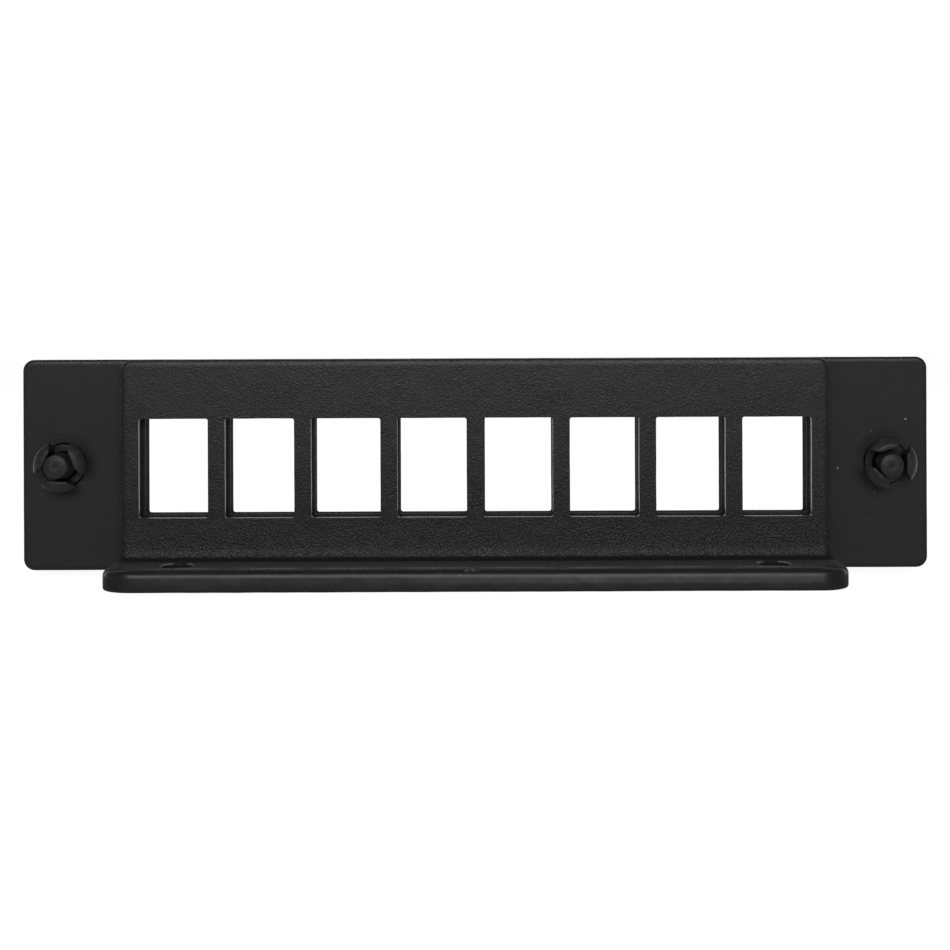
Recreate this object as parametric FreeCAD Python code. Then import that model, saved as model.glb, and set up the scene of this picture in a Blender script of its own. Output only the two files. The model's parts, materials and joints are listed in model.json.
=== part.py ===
import FreeCAD, Part
import math
import os

# Fibre adapter plate with two push fasteners, all sizes in millimetres.
# +X runs along the plate, +Z is up and -Y points into the housing that the plate closes.
# The origin is the middle of the ear plate's rear face, the face that seats on the housing.
# The bracket and the fastener legs stand on the -Y side, the fastener knobs on the +Y side.

# Distance between the two fasteners, which match a pair of holes in the housing
fastener_spacing = 118.0

# Ear plate: the flat sheet that spans the bay and reaches past each fastener by an end margin
ear_end_margin = 6.0
ear_height = 30.3
ear_thickness = 2.8
ear_corner_radius = 1.6

# Adapter windows, cut through both sheets. The bracket's are larger by the two reliefs.
# The row has as many as fit between the fasteners with the bracket this far from their axes.
bracket_to_fastener = 8.0
window_pitch = 12.2
window_width = 9.6
window_height = 13.8
window_drop = 0.2
window_corner_radius = 0.3
window_side_relief = 0.06
window_sill_relief = 0.25

# Flange bracket: the bent sheet bonded to the rear face of the ear plate
bracket_thickness = 2.6
bracket_side_margin = 2.9
bracket_corner_radius = 1.8
bend_radius = 2.0
flange_reach = 10.0
flange_drop = 1.15
flange_overhang = 0.92
flange_corner_radius = 3.5
shoulder_drop = 1.3
shoulder_inner_radius = 0.25
shoulder_outer_radius = 0.55

# Tapped holes in the flange, inset from its ends
tapped_hole_inset = 9.05
tapped_hole_reach = 4.6
tapped_hole_bore = 4.2
tapped_hole_mouth = 5.0

# Rounding that the coating leaves along cut edges and round the windows
edge_rounding = 0.5
rim_rounding = 0.2

# Hole in each ear that a grommet's neck passes through
fastener_hole_diameter = 6.2
neck_clearance = 0.1

# Grommet: collar, neck and three legs in one moulding, the legs spread by the plunger
collar_diameter = 9.6
collar_thickness = 1.3
collar_rounding = 0.4
neck_wall = 1.0
grip_length = 1.6
leg_root_reach = 0.3
leg_flare_length = 0.7
leg_flare_width = 0.82
leg_nose_length = 1.1
leg_nose_crown = 0.18
leg_lean = 0.45
leg_slot_width = 2.4
left_leg_directions = (23.0, 153.0, 268.0)
right_leg_directions = (0.0, 106.0, 225.0)

# Lip in the grommet's bore that stops the plunger's head
lip_height = 0.3
lip_thickness = 0.8
lip_clearance = 0.05

# Plunger: knob, shank and the head that spreads the legs
plunger_travel = 5.0
plunger_stop_gap = 0.05
plunger_clearance = 0.03
plunger_tip_overhang = 0.5
plunger_tip_face = 2.4
plunger_tip_chamfer = 0.6
plunger_dimple_diameter = 0.9
plunger_dimple_depth = 0.25
knob_diameter = 8.4
knob_length = 6.2
knob_rim_length = 1.4
knob_waist_depth = 0.45
knob_rounding = 0.6

# Places and sizes that follow from those above
ear_width = fastener_spacing + 2 * ear_end_margin
ear_top = ear_height / 2.0
ear_bottom = -ear_height / 2.0
window_top = window_height / 2.0 - window_drop
window_bottom = -window_height / 2.0 - window_drop
bracket_room = fastener_spacing - 2 * bracket_to_fastener
window_count = 1 + int((bracket_room - 2 * bracket_side_margin - window_width) // window_pitch)
window_row_width = (window_count - 1) * window_pitch + window_width
bracket_width = window_row_width + 2 * bracket_side_margin
tapped_hole_spacing = bracket_width - 2 * tapped_hole_inset
flange_bottom = ear_bottom - flange_drop
flange_top = flange_bottom + bracket_thickness
flange_end = -bracket_thickness - flange_reach
flange_width = bracket_width + 2 * flange_overhang
bend_top = flange_bottom + bracket_thickness + bend_radius
shoulder_level = bend_top - shoulder_drop
neck_radius = fastener_hole_diameter / 2.0 - neck_clearance
bore_radius = neck_radius - neck_wall
lip_radius = bore_radius - lip_height
collar_face = ear_thickness + collar_thickness
lip_start = collar_face - lip_thickness
leg_radius = neck_radius + leg_flare_width
leg_tip_radius = bore_radius + leg_lean
leg_widest_reach = grip_length + leg_flare_length
leg_tip_reach = leg_widest_reach + leg_nose_length
plunger_tip = -leg_tip_reach - plunger_tip_overhang

# Overshoot of a cutting tool past the face that it cuts, and the smallest length that counts
cut_margin = 1.0
tolerance = 1e-4


def point(x, y, z):
    return FreeCAD.Vector(x, y, z)


def limited_rounding(radius, wall):
    """A rounding stays under half of the wall that carries it."""
    return min(radius, 0.45 * wall)


def rounded_rectangle(x_low, x_high, z_low, z_high, radius, y):
    """Face in the plane at y: a rectangle whose corners are quarter circles."""
    quarters = [
        (x_high - radius, z_low + radius, 270),
        (x_high - radius, z_high - radius, 0),
        (x_low + radius, z_high - radius, 90),
        (x_low + radius, z_low + radius, 180),
    ]
    arcs = []
    for centre_x, centre_z, start in quarters:
        angles = [math.radians(start + step) for step in (0, 45, 90)]
        arcs.append(
            [point(centre_x + radius * math.cos(a), y, centre_z + radius * math.sin(a)) for a in angles]
        )
    edges = []
    for arc, following in zip(arcs, arcs[1:] + arcs[:1]):
        edges.append(Part.Arc(*arc).toShape())
        edges.append(Part.LineSegment(arc[-1], following[0]).toShape())
    return Part.Face(Part.Wire(edges))


def window_cutter(side_relief, sill_relief, y_low, y_high):
    """Prisms of all windows, wider at both sides and lower at the sill by the reliefs."""
    half_width = window_width / 2.0 + side_relief
    prisms = []
    for index in range(window_count):
        middle = (index - (window_count - 1) / 2.0) * window_pitch
        face = rounded_rectangle(
            middle - half_width,
            middle + half_width,
            window_bottom - sill_relief,
            window_top,
            window_corner_radius,
            y_low,
        )
        prisms.append(face.extrude(point(0, y_high - y_low, 0)))
    return Part.makeCompound(prisms)


def outline_edges(sheet, width):
    """Edges round a sheet's cut outline: those that lie on one face of at least the width only."""
    broad_faces = [face for face in sheet.Faces if face.BoundBox.XLength > width - tolerance]
    edges = [edge for face in broad_faces for edge in face.Edges]
    return [edge for edge in edges if sum(edge.isSame(other) for other in edges) == 1]


def opening_edges(sheet, y):
    """Edges round every opening in the sheet's largest flat face at y."""
    flat_faces = [
        face
        for face in sheet.Faces
        if abs(face.BoundBox.YMin - y) < tolerance and face.BoundBox.YLength < tolerance
    ]
    largest = max(flat_faces, key=lambda face: face.Area)
    openings = [wire for wire in largest.Wires if not wire.isSame(largest.OuterWire)]
    return [edge for wire in openings for edge in wire.Edges]


def corner_edges(sheet, axis_length, place, value):
    """Edges across the sheet at its left and right ends, where place(box) gives the value."""
    return [
        edge
        for edge in sheet.Edges
        if edge.BoundBox.XLength < tolerance
        and abs(axis_length(edge.BoundBox) - bracket_thickness) < tolerance
        and abs(place(edge.BoundBox) - value) < tolerance
    ]


def ear_plate():
    """Flat sheet with rounded corners, adapter windows and two fastener holes."""
    outline = rounded_rectangle(
        -ear_width / 2.0, ear_width / 2.0, ear_bottom, ear_top, ear_corner_radius, 0
    )
    sheet = outline.extrude(point(0, ear_thickness, 0))
    sheet = sheet.makeFillet(
        limited_rounding(edge_rounding, ear_thickness), outline_edges(sheet, ear_width)
    )
    sheet = sheet.cut(window_cutter(0, 0, -cut_margin, ear_thickness + cut_margin))
    sheet = sheet.makeFillet(
        limited_rounding(rim_rounding, ear_thickness), opening_edges(sheet, ear_thickness)
    )
    for side in (-1, 1):
        hole = Part.makeCylinder(
            fastener_hole_diameter / 2.0,
            ear_thickness + 2 * cut_margin,
            point(side * fastener_spacing / 2.0, -cut_margin, 0),
            point(0, 1, 0),
        )
        sheet = sheet.cut(hole)
    return sheet


def bend_arc(x, radius, centre_y, centre_z):
    """Quarter arc of the bend, from the flange's level to the upright's face."""
    angles = [math.radians(angle) for angle in (270, 315, 360)]
    return Part.Arc(
        *[point(x, centre_y + radius * math.cos(a), centre_z + radius * math.sin(a)) for a in angles]
    )


def bracket_section(x):
    """L-shaped section of the bracket: flange, bend and upright, as a face at x."""
    outer_radius = bend_radius + bracket_thickness
    outer = bend_arc(x, outer_radius, -outer_radius, bend_top)
    inner = bend_arc(x, bend_radius, -outer_radius, bend_top)
    corners = [
        inner.EndPoint,
        point(x, -bracket_thickness, ear_top),
        point(x, 0, ear_top),
        outer.EndPoint,
    ]
    flange_corners = [
        outer.StartPoint,
        point(x, flange_end, flange_bottom),
        point(x, flange_end, flange_top),
        inner.StartPoint,
    ]
    edges = [outer.toShape(), inner.toShape()]
    edges += Part.makePolygon(corners).Edges
    edges += Part.makePolygon(flange_corners).Edges
    return Part.Face(Part.Wire(Part.__sortEdges__(edges)))


def tapped_hole_cutter(side):
    """Bore of one tapped hole, with a countersunk mouth on both faces of the flange."""
    place_x = side * tapped_hole_spacing / 2.0
    place_y = -bracket_thickness - tapped_hole_reach
    radius = tapped_hole_bore / 2.0
    mouth_depth = tapped_hole_mouth / 2.0 - radius
    cone_length = mouth_depth + cut_margin
    bore = Part.makeCylinder(
        radius,
        bracket_thickness + 2 * cut_margin,
        point(place_x, place_y, flange_bottom - cut_margin),
        point(0, 0, 1),
    )
    upper = Part.makeCone(
        radius,
        radius + cone_length,
        cone_length,
        point(place_x, place_y, flange_top - mouth_depth),
        point(0, 0, 1),
    )
    lower = Part.makeCone(
        radius,
        radius + cone_length,
        cone_length,
        point(place_x, place_y, flange_bottom + mouth_depth),
        point(0, 0, -1),
    )
    return bore.fuse([upper, lower])


def beside_upright(side):
    """Block that trims the blank beside the upright, down to a shoulder with rounded corners."""
    y = flange_end - cut_margin
    inner = bracket_width / 2.0
    outer = flange_width / 2.0
    top = ear_top + cut_margin

    def place(x, z):
        return point(side * x, y, z)

    def quarter(centre_x, centre_z, radius, first_angle):
        """Arc that turns clockwise by a quarter from the first angle."""
        angles = [math.radians(first_angle - turn) for turn in (0, 45, 90)]
        return [place(centre_x + radius * math.cos(a), centre_z + radius * math.sin(a)) for a in angles]

    root = []
    for turn in (0, 45, 90):
        angle = math.radians(180 + turn)
        root.append(
            place(
                inner + shoulder_inner_radius * (1 + math.cos(angle)),
                shoulder_level + shoulder_inner_radius * (1 + math.sin(angle)),
            )
        )
    crest = quarter(outer - shoulder_outer_radius, shoulder_level - shoulder_outer_radius, shoulder_outer_radius, 90)
    edges = [Part.Arc(*root).toShape(), Part.Arc(*crest).toShape()]
    edges += Part.makePolygon([root[2], crest[0]]).Edges
    far = outer + cut_margin
    rest = [crest[2], place(far, shoulder_level - shoulder_outer_radius), place(far, top), place(inner, top), root[0]]
    edges += Part.makePolygon(rest).Edges
    profile = Part.Face(Part.Wire(Part.__sortEdges__(edges)))
    return profile.extrude(point(0, bracket_thickness + flange_reach + 2 * cut_margin, 0))


def flange_bracket():
    """Bent sheet with a rounded outline, adapter windows and two tapped holes."""
    sheet = bracket_section(-flange_width / 2.0).extrude(point(flange_width, 0, 0))
    sheet = sheet.cut([beside_upright(-1), beside_upright(1)])
    flange_corners = corner_edges(sheet, lambda box: box.ZLength, lambda box: box.YMin, flange_end)
    sheet = sheet.makeFillet(flange_corner_radius, flange_corners)
    top_corners = corner_edges(sheet, lambda box: box.YLength, lambda box: box.ZMax, ear_top)
    sheet = sheet.makeFillet(bracket_corner_radius, top_corners)
    sheet = sheet.makeFillet(
        limited_rounding(edge_rounding, bracket_thickness), outline_edges(sheet, bracket_width)
    )
    sheet = sheet.cut(
        window_cutter(
            window_side_relief, window_sill_relief, -bracket_thickness - cut_margin, cut_margin
        )
    )
    sheet = sheet.makeFillet(
        limited_rounding(rim_rounding, bracket_thickness), opening_edges(sheet, -bracket_thickness)
    )
    for side in (-1, 1):
        sheet = sheet.cut(tapped_hole_cutter(side))
    return sheet


def profile_line(*places):
    """Edges through (radius, y) places of a turned profile."""
    return Part.makePolygon([point(radius, y, 0) for radius, y in places]).Edges


def profile_arc(start, middle, end):
    """Arc through three (radius, y) places of a turned profile."""
    return [Part.Arc(*[point(radius, y, 0) for radius, y in (start, middle, end)]).toShape()]


def end_rounding(radius, y, rounding):
    """Three places of the quarter circle between a side of the given radius and an end face at y."""
    diagonal = rounding * (1.0 - math.sqrt(0.5))
    return (radius, y - rounding), (radius - diagonal, y - diagonal), (radius - rounding, y)


def turned(profile_edges):
    """Solid turned about the fastener's own Y axis from a closed profile."""
    return Part.Face(Part.Wire(profile_edges)).revolve(point(0, 0, 0), point(0, 1, 0), 360)


def grommet_blank():
    """Turned blank of the grommet: stepped bore, nose, flare, neck and collar."""
    collar_radius = collar_diameter / 2.0
    tip = (leg_tip_radius, -leg_tip_reach)
    widest = (leg_radius, -leg_widest_reach)
    crown = (
        (tip[0] + widest[0]) / 2.0 + leg_nose_crown,
        (tip[1] + widest[1]) / 2.0 - leg_nose_crown,
    )
    rounding = end_rounding(collar_radius, collar_face, limited_rounding(collar_rounding, collar_thickness))
    edges = profile_arc(tip, crown, widest)
    edges += profile_line(
        widest,
        (neck_radius, -grip_length),
        (neck_radius, ear_thickness),
        (collar_radius, ear_thickness),
        rounding[0],
    )
    edges += profile_arc(*rounding)
    edges += profile_line(
        rounding[2],
        (lip_radius, collar_face),
        (lip_radius, lip_start),
        (bore_radius, lip_start),
        (bore_radius, -leg_tip_reach),
        tip,
    )
    return turned(edges)


def leg_sector(direction):
    """Prism round one leg, with sides that leave half a slot's width beside it."""
    reach = 2 * leg_radius
    spread = math.radians(60)
    apex = point(leg_slot_width / 2.0 / math.sin(spread), -leg_root_reach, 0)
    side = point(math.cos(spread), 0, math.sin(spread)) * reach
    mirrored_side = point(side.x, 0, -side.z)
    outline = Part.makePolygon([apex, apex + side, apex + mirrored_side, apex])
    sector = Part.Face(outline).extrude(point(0, -leg_tip_reach - cut_margin, 0))
    sector.rotate(point(0, 0, 0), point(0, 1, 0), -direction)
    return sector


def leg_inner_cutter(direction):
    """Block whose side leans out from the bore to the leg's tip: it leaves a flat inner face."""
    reach = 2 * leg_radius
    low = -leg_tip_reach - cut_margin
    outline = Part.makePolygon(
        [
            point(-reach, -leg_root_reach, 0),
            point(bore_radius, -leg_root_reach, 0),
            point(leg_tip_radius, -leg_tip_reach, 0),
            point(leg_tip_radius, low, 0),
            point(-reach, low, 0),
            point(-reach, -leg_root_reach, 0),
        ]
    )
    block = Part.Face(outline).extrude(point(0, 0, 2 * reach))
    block.translate(point(0, 0, -reach))
    block.rotate(point(0, 0, 0), point(0, 1, 0), -direction)
    return block


def grommet(leg_directions):
    """Collar and neck ring, with three legs that stand off the ring's end."""
    blank = grommet_blank()
    beyond_ring = Part.makeCylinder(
        2 * leg_radius,
        leg_tip_reach + cut_margin,
        point(0, -leg_root_reach, 0),
        point(0, -1, 0),
    )
    body = blank.cut(beyond_ring)
    for direction in leg_directions:
        leg = blank.common(leg_sector(direction)).cut(leg_inner_cutter(direction))
        body = body.fuse(leg)
    return body.removeSplitter()


def plunger():
    """Turned plunger: dimpled and chamfered head, shank, and a knob with a finger waist."""
    head_radius = bore_radius - plunger_clearance
    shank_radius = lip_radius - lip_clearance
    shoulder = lip_start - plunger_travel - plunger_stop_gap
    tip_radius = plunger_tip_face / 2.0
    knob_radius = knob_diameter / 2.0
    knob_end = collar_face + knob_length
    waist_start = (knob_radius, collar_face + knob_rim_length)
    waist_middle = (knob_radius - knob_waist_depth, collar_face + knob_length / 2.0)
    waist_end = (knob_radius, knob_end - knob_rim_length)
    rounding = end_rounding(knob_radius, knob_end, limited_rounding(knob_rounding, knob_rim_length))
    edges = profile_line(
        (0, plunger_tip + plunger_dimple_depth),
        (plunger_dimple_diameter / 2.0, plunger_tip),
        (tip_radius, plunger_tip),
        (head_radius, plunger_tip + plunger_tip_chamfer),
        (head_radius, shoulder),
        (shank_radius, shoulder),
        (shank_radius, collar_face),
        (knob_radius, collar_face),
        waist_start,
    )
    edges += profile_arc(waist_start, waist_middle, waist_end)
    edges += profile_line(waist_end, rounding[0])
    edges += profile_arc(*rounding)
    edges += profile_line(rounding[2], (0, knob_end), (0, plunger_tip + plunger_dimple_depth))
    return turned(edges)


def placed(shape, x):
    """A fastener's piece moved along the plate to its hole."""
    moved = shape.copy()
    moved.translate(point(x, 0, 0))
    return moved


def pieces():
    """Every piece by name, each where it lies on the object."""
    left = -fastener_spacing / 2.0
    right = fastener_spacing / 2.0
    return {
        "ear_plate": ear_plate(),
        "flange_bracket": flange_bracket(),
        "left_grommet": placed(grommet(left_leg_directions), left),
        "right_grommet": placed(grommet(right_leg_directions), right),
        "left_plunger": placed(plunger(), left),
        "right_plunger": placed(plunger(), right),
    }


os.makedirs("parts", exist_ok=True)
for name, shape in pieces().items():
    shape.exportStep("parts/" + name + ".step")
    print(name, "valid", shape.isValid(), "solids", len(shape.Solids), "volume", round(shape.Volume, 2))
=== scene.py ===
"""Fibre adapter plate: coated sheets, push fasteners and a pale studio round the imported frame."""

import json
import math

import bmesh
import bpy
import numpy as np
from bpy.props import FloatProperty, FloatVectorProperty, IntProperty, PointerProperty
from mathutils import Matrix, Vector


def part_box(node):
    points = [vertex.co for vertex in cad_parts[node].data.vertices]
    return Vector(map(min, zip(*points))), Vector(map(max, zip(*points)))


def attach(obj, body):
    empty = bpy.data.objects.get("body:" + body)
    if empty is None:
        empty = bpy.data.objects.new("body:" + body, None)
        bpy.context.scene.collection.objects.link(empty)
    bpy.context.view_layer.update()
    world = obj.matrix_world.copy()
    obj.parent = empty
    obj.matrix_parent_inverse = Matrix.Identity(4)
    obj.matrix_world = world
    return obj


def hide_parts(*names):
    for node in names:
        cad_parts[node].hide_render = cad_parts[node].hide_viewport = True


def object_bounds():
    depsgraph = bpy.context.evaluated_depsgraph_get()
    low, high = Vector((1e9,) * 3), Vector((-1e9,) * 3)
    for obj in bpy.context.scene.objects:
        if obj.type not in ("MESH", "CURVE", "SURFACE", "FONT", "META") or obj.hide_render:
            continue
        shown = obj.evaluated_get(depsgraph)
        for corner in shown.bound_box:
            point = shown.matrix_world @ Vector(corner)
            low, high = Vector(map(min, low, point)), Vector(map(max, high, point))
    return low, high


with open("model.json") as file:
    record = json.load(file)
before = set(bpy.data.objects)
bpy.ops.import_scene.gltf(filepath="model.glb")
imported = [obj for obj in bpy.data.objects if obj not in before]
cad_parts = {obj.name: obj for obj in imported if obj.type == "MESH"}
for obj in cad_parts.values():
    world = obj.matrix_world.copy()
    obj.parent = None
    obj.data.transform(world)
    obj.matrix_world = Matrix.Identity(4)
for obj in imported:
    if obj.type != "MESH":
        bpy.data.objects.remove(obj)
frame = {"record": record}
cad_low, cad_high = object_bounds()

bl_info = {
    "name": "Fibre adapter plate",
    "version": (1, 0, 0),
    "blender": (4, 5, 0),
    "location": "3D View > Sidebar > Adapter plate",
    "description": "Coated sheets, push fasteners and studio of a fibre adapter plate",
    "category": "Object",
}

MM = 0.001
RECORD = frame["record"]
MOUNTS = {mount["name"]: mount for mount in RECORD["mounts"]}
PLATE_BODY = "plate"
SHEET_SLOT = "black_coated_sheet"
MOULDING_SLOT = "black_moulding"
SIDES = ("left", "right")
# How far each pin's tip leans along X and Z in millimetres, and where its legs point in degrees.
TIP_LEANS = {"left": (-0.28, 0.06), "right": (-0.16, -0.24)}
LEG_DIRECTIONS = {"left": (23.0, 153.0, 268.0), "right": (0.0, 106.0, 225.0)}
MERGE_DISTANCE = 1e-6


# Sizes and colours that a user would change


def length(name, description, millimetres):
    """A length property with its default given in millimetres."""
    return FloatProperty(
        name=name, description=description, default=millimetres * MM, unit="LENGTH", precision=5
    )


def number(name, description, value):
    """A plain number property."""
    return FloatProperty(name=name, description=description, default=value, precision=4)


def colour(name, description, value):
    """A linear colour property."""
    return FloatVectorProperty(
        name=name, description=description, default=value, subtype="COLOR", size=3, min=0.0, max=1.0
    )


class SheetSizes(bpy.types.PropertyGroup):
    """Sizes of the two coated sheets."""

    window_pitch: length("Window pitch", "Distance between neighbouring windows", 12.2)
    window_width: length("Window width", "Width of a window in the ear plate", 9.6)
    window_height: length("Window height", "Height of a window in the ear plate", 13.8)
    window_corner: length("Window corner", "Corner radius of a window", 0.3)
    side_relief: length("Side relief", "Extra width of the bracket's windows at each side", 0.1)
    window_spread: number("Window spread", "Stretch of the row of the bracket's windows", 1.0037)
    ear_window_shift: length("Ear window shift", "Shift of the ear plate's windows to the right", 0.12)
    sill_relief: length("Sill relief", "Extra depth of the bracket's windows at the sill", 0.25)
    ear_corner: length("Ear corner", "Corner radius of the ear plate", 1.6)
    bracket_corner: length("Bracket corner", "Radius of the bracket's top corners", 1.8)
    flange_corner: length("Flange corner", "Radius of the flange's corners", 4.4)
    bracket_thickness: length("Bracket thickness", "Thickness of the bent sheet", 2.6)
    bend_radius: length("Bend radius", "Inner radius of the bend", 2.0)
    bend_hollow: length("Bend hollow", "Depth by which the bend is tighter at its middle", 0.19)
    flange_overhang: length("Flange overhang", "How far the flange stands out past the upright", 0.92)
    shoulder_drop: length("Shoulder drop", "From the bend's top to the shoulder at each end", 1.3)
    flange_swell: length("Flange swell", "Extra thickness that the coating gives the flange", 0.34)
    edge_rounding: length("Edge rounding", "Rounding of the coating on cut edges", 0.32)
    ear_roll: length("Ear roll", "Width of the rounding along the ears' edge", 0.7)
    upright_roll: length("Upright roll", "Width of the rounding along the upright's edge", 1.0)
    upright_drop: length("Upright drop", "Depth of the rounding along the upright's edge", 0.42)
    flange_roll: length("Flange roll", "Width of the rounding along the flange's edge", 1.1)
    flange_lip: length("Flange lip", "Height of the fat edge along the flange's rim", 0.26)
    flange_lip_width: length("Flange lip width", "Width of the rise to the flange's fat edge", 2.4)
    flange_lean: length("Flange lean", "How far the flange's front leans back at its top", 0.2)
    flange_bow: length("Flange bow", "How far the front's upper half bows back as well", 0.2)
    glossy_rim: length("Glossy rim", "Depth of the thick coat inside a window", 0.9)
    rim_rounding: length("Rim rounding", "Rounding of the coating round windows and holes", 0.2)
    fastener_hole: length("Fastener hole", "Radius of the hole for a fastener", 3.1)
    unevenness: length("Unevenness", "Depth of the slow waves in the coating", 0.035)
    mouth_radius: length("Mouth radius", "Radius of a tapped hole's countersunk mouth", 2.2)
    thread_pitch: length("Thread pitch", "Rise of the thread in one turn", 0.8)
    thread_depth: length("Thread depth", "Depth of the thread in the bore's wall", 0.22)


class FastenerSizes(bpy.types.PropertyGroup):
    """Sizes of the push fasteners."""

    neck_radius: length("Neck radius", "Outer radius of the grommet's neck", 3.0)
    bore_radius: length("Bore radius", "Radius of the grommet's bore", 2.0)
    lip_radius: length("Lip radius", "Radius inside the lip that stops the plunger", 1.7)
    lip_start: length("Lip start", "Where the lip begins, in front of the ear's rear face", 3.3)
    collar_rounding: length("Collar rounding", "Rounding of the collar's rim", 0.4)
    leg_root: length("Leg root", "Where the legs leave the neck, behind the ear's rear face", 0.3)
    grip: length("Grip", "Straight length of the neck behind the ear's rear face", 1.6)
    leg_widest: length("Leg widest", "Where the legs are widest, behind the ear's rear face", 2.3)
    leg_radius: length("Leg radius", "Largest radius of the spread legs", 3.82)
    leg_tip_radius: length("Leg tip radius", "Outer radius of the legs at their tips", 2.8)
    leg_tip_inner: length("Leg tip inner radius", "Inner radius of the legs at their tips", 2.1)
    leg_crown: length("Leg crown", "Bulge of the legs' noses", 0.25)
    slot_width: length("Slot width", "Width of the slots between the legs", 2.4)
    plunger_clearance: length("Plunger clearance", "Gap round the plunger's head", 0.03)
    shank_radius: length("Shank radius", "Radius of the plunger's shank", 1.65)
    shoulder: length("Shoulder", "Where the head meets the shank, behind the ear's rear face", 1.75)
    tip_radius: length("Tip radius", "Radius of the plunger's head at its tip", 1.66)
    tip_face: length("Tip face", "Radius of the flat on the plunger's tip", 0.95)
    tip_crown: length("Tip crown", "Height of the slope round the flat on the tip", 0.2)
    knob_rim: length("Knob rim", "Length of each plain rim on the knob", 1.4)
    knob_waist: length("Knob waist", "Depth of the finger waist round the knob", 0.45)
    rib_depth: length("Rib depth", "Depth of the grooves between the knob's ribs", 0.12)
    rib_count: IntProperty(name="Rib count", description="Ribs round the knob", default=26)


class CoatingLook(bpy.types.PropertyGroup):
    """Colours and textures of the coating and the mouldings."""

    coat_colour: colour("Coat colour", "Colour of the bracket's coat", (0.019, 0.019, 0.0193))
    ear_colour: colour("Ear colour", "Colour of the ears' coat", (0.0165, 0.0165, 0.0168))
    thin_coat_colour: colour("Thin coat", "Colour of the dull coat in the windows", (0.02, 0.02, 0.0203))
    # Also the colour of the painted glints on the bracket's shoulders and on the ears' crinkled arcs.
    dust_and_glint_colour: colour("Dust colour", "Colour of dust and scuffs", (0.3, 0.3, 0.295))
    # Painted highlight: this bright colour goes only at the left and right of each tapped bore, as glints
    # on the thread.
    thread_glint_colour: colour("Thread colour", "Colour of the bare metal in the threads", (0.34, 0.34, 0.33))
    moulding_colour: colour("Moulding colour", "Colour of the nylon", (0.024, 0.024, 0.0245))
    coat_roughness: number("Coat roughness", "Roughness of the bracket's coat", 0.275)
    ear_roughness: number("Ear roughness", "Roughness of the ears' coat", 0.57)
    coat_sheen: number("Coat sheen", "Strength of the coat's haze at shallow angles", 0.09)
    ear_rim_roughness: number("Ear rim roughness", "Roughness along the ears' top edge", 0.22)
    moulding_roughness: number("Moulding roughness", "Roughness of the nylon", 0.42)
    peel_size: length("Peel size", "Size of the orange-peel grains on the bracket", 0.26)
    peel_depth: number("Peel depth", "Height of the bracket's grains in millimetres", 0.06)
    ear_peel_depth: number("Ear peel depth", "Height of the ears' grains in millimetres", 0.045)


class StudioSettings(bpy.types.PropertyGroup):
    """Camera and light."""

    view_distance: length("View distance", "From the camera to the bracket's face", 200.0)
    view_height: length("View height", "Height of the camera over the ears' middle", 17.0)
    view_side: length("View side", "How far the camera stands to the right", 0.04)
    view_roll: number("View roll", "Turn of the camera about its view, in degrees", 0.22)
    focal_pixels: number("Focal length", "Focal length in picture widths", 1410.0 / 950.0)
    picture_drop: number("Picture drop", "Shift of the picture, in picture widths", -129.7 / 950.0)
    soft_box: number("Soft box", "Power of the light in front, in watts", 2.8)
    soft_box_low: number("Soft box low edge", "Elevation of its lower edge, in degrees", 8.5)
    soft_box_high: number("Soft box high edge", "Elevation of its upper edge, in degrees", 36.0)
    soft_box_width: length("Soft box width", "Width of the light in front", 840.0)
    soft_box_distance: length("Soft box distance", "From the object to the light in front", 900.0)
    room_light: number("Room light", "Strength of the even light all round", 0.15)
    floor_glow: number("Floor glow", "How far the floor is lifted to white where it is seen", 0.86)
    floor_bounce: number("Floor bounce", "Light that the white floor gives to the object", 0.77)


# Surfaces worked out on grids


def smooth_step(value, low, high):
    """0 below low, 1 above high, and a smooth rise by 3 t squared minus 2 t cubed between them."""
    part = np.clip((value - low) / (high - low), 0.0, 1.0)
    return part * part * (3.0 - 2.0 * part)


def outline(rectangle, radii, across, up, corner_steps):
    """Closed outline of a rectangle with round corners, as an array of places in the sheet.

    Going round from the lower left, each side is the straight stretch between its two corners at
    the given fractions, and each corner is a quarter circle of its radius.
    """
    a_low, a_high, s_low, s_high = rectangle
    r_low, r_high = radii
    turn = np.linspace(0.0, math.pi / 2.0, corner_steps + 1)[1:-1]
    sine, cosine = np.sin(turn), np.cos(turn)

    def side(a_start, a_end, s_start, s_end, fraction):
        return np.stack(
            [a_start + (a_end - a_start) * fraction, s_start + (s_end - s_start) * fraction], axis=1
        )

    def corner(a, s, radius, a_turn, s_turn):
        return np.stack([a + radius * a_turn, s + radius * s_turn], axis=1)

    return np.concatenate(
        [
            side(a_low + r_low, a_high - r_low, s_low, s_low, across),
            corner(a_high - r_low, s_low + r_low, r_low, sine, -cosine),
            side(a_high, a_high, s_low + r_low, s_high - r_high, up),
            corner(a_high - r_high, s_high - r_high, r_high, cosine, sine),
            side(a_high - r_high, a_low + r_high, s_high, s_high, 1.0 - across[::-1]),
            corner(a_low + r_high, s_high - r_high, r_high, -sine, cosine),
            side(a_low, a_low, s_high - r_high, s_low + r_low, 1.0 - up[::-1]),
            corner(a_low + r_low, s_low + r_low, r_low, -cosine, -sine),
        ]
    )


def grown(rectangle, margin):
    """The rectangle with every side moved out by the margin."""
    a_low, a_high, s_low, s_high = rectangle
    return a_low - margin, a_high + margin, s_low - margin, s_high + margin


def between(inner, outer, steps):
    """Straight blend from one outline to another, in rows."""
    fraction = np.linspace(0.0, 1.0, steps + 1)[:, None, None]
    return inner[None] * (1.0 - fraction) + outer[None] * fraction


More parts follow.
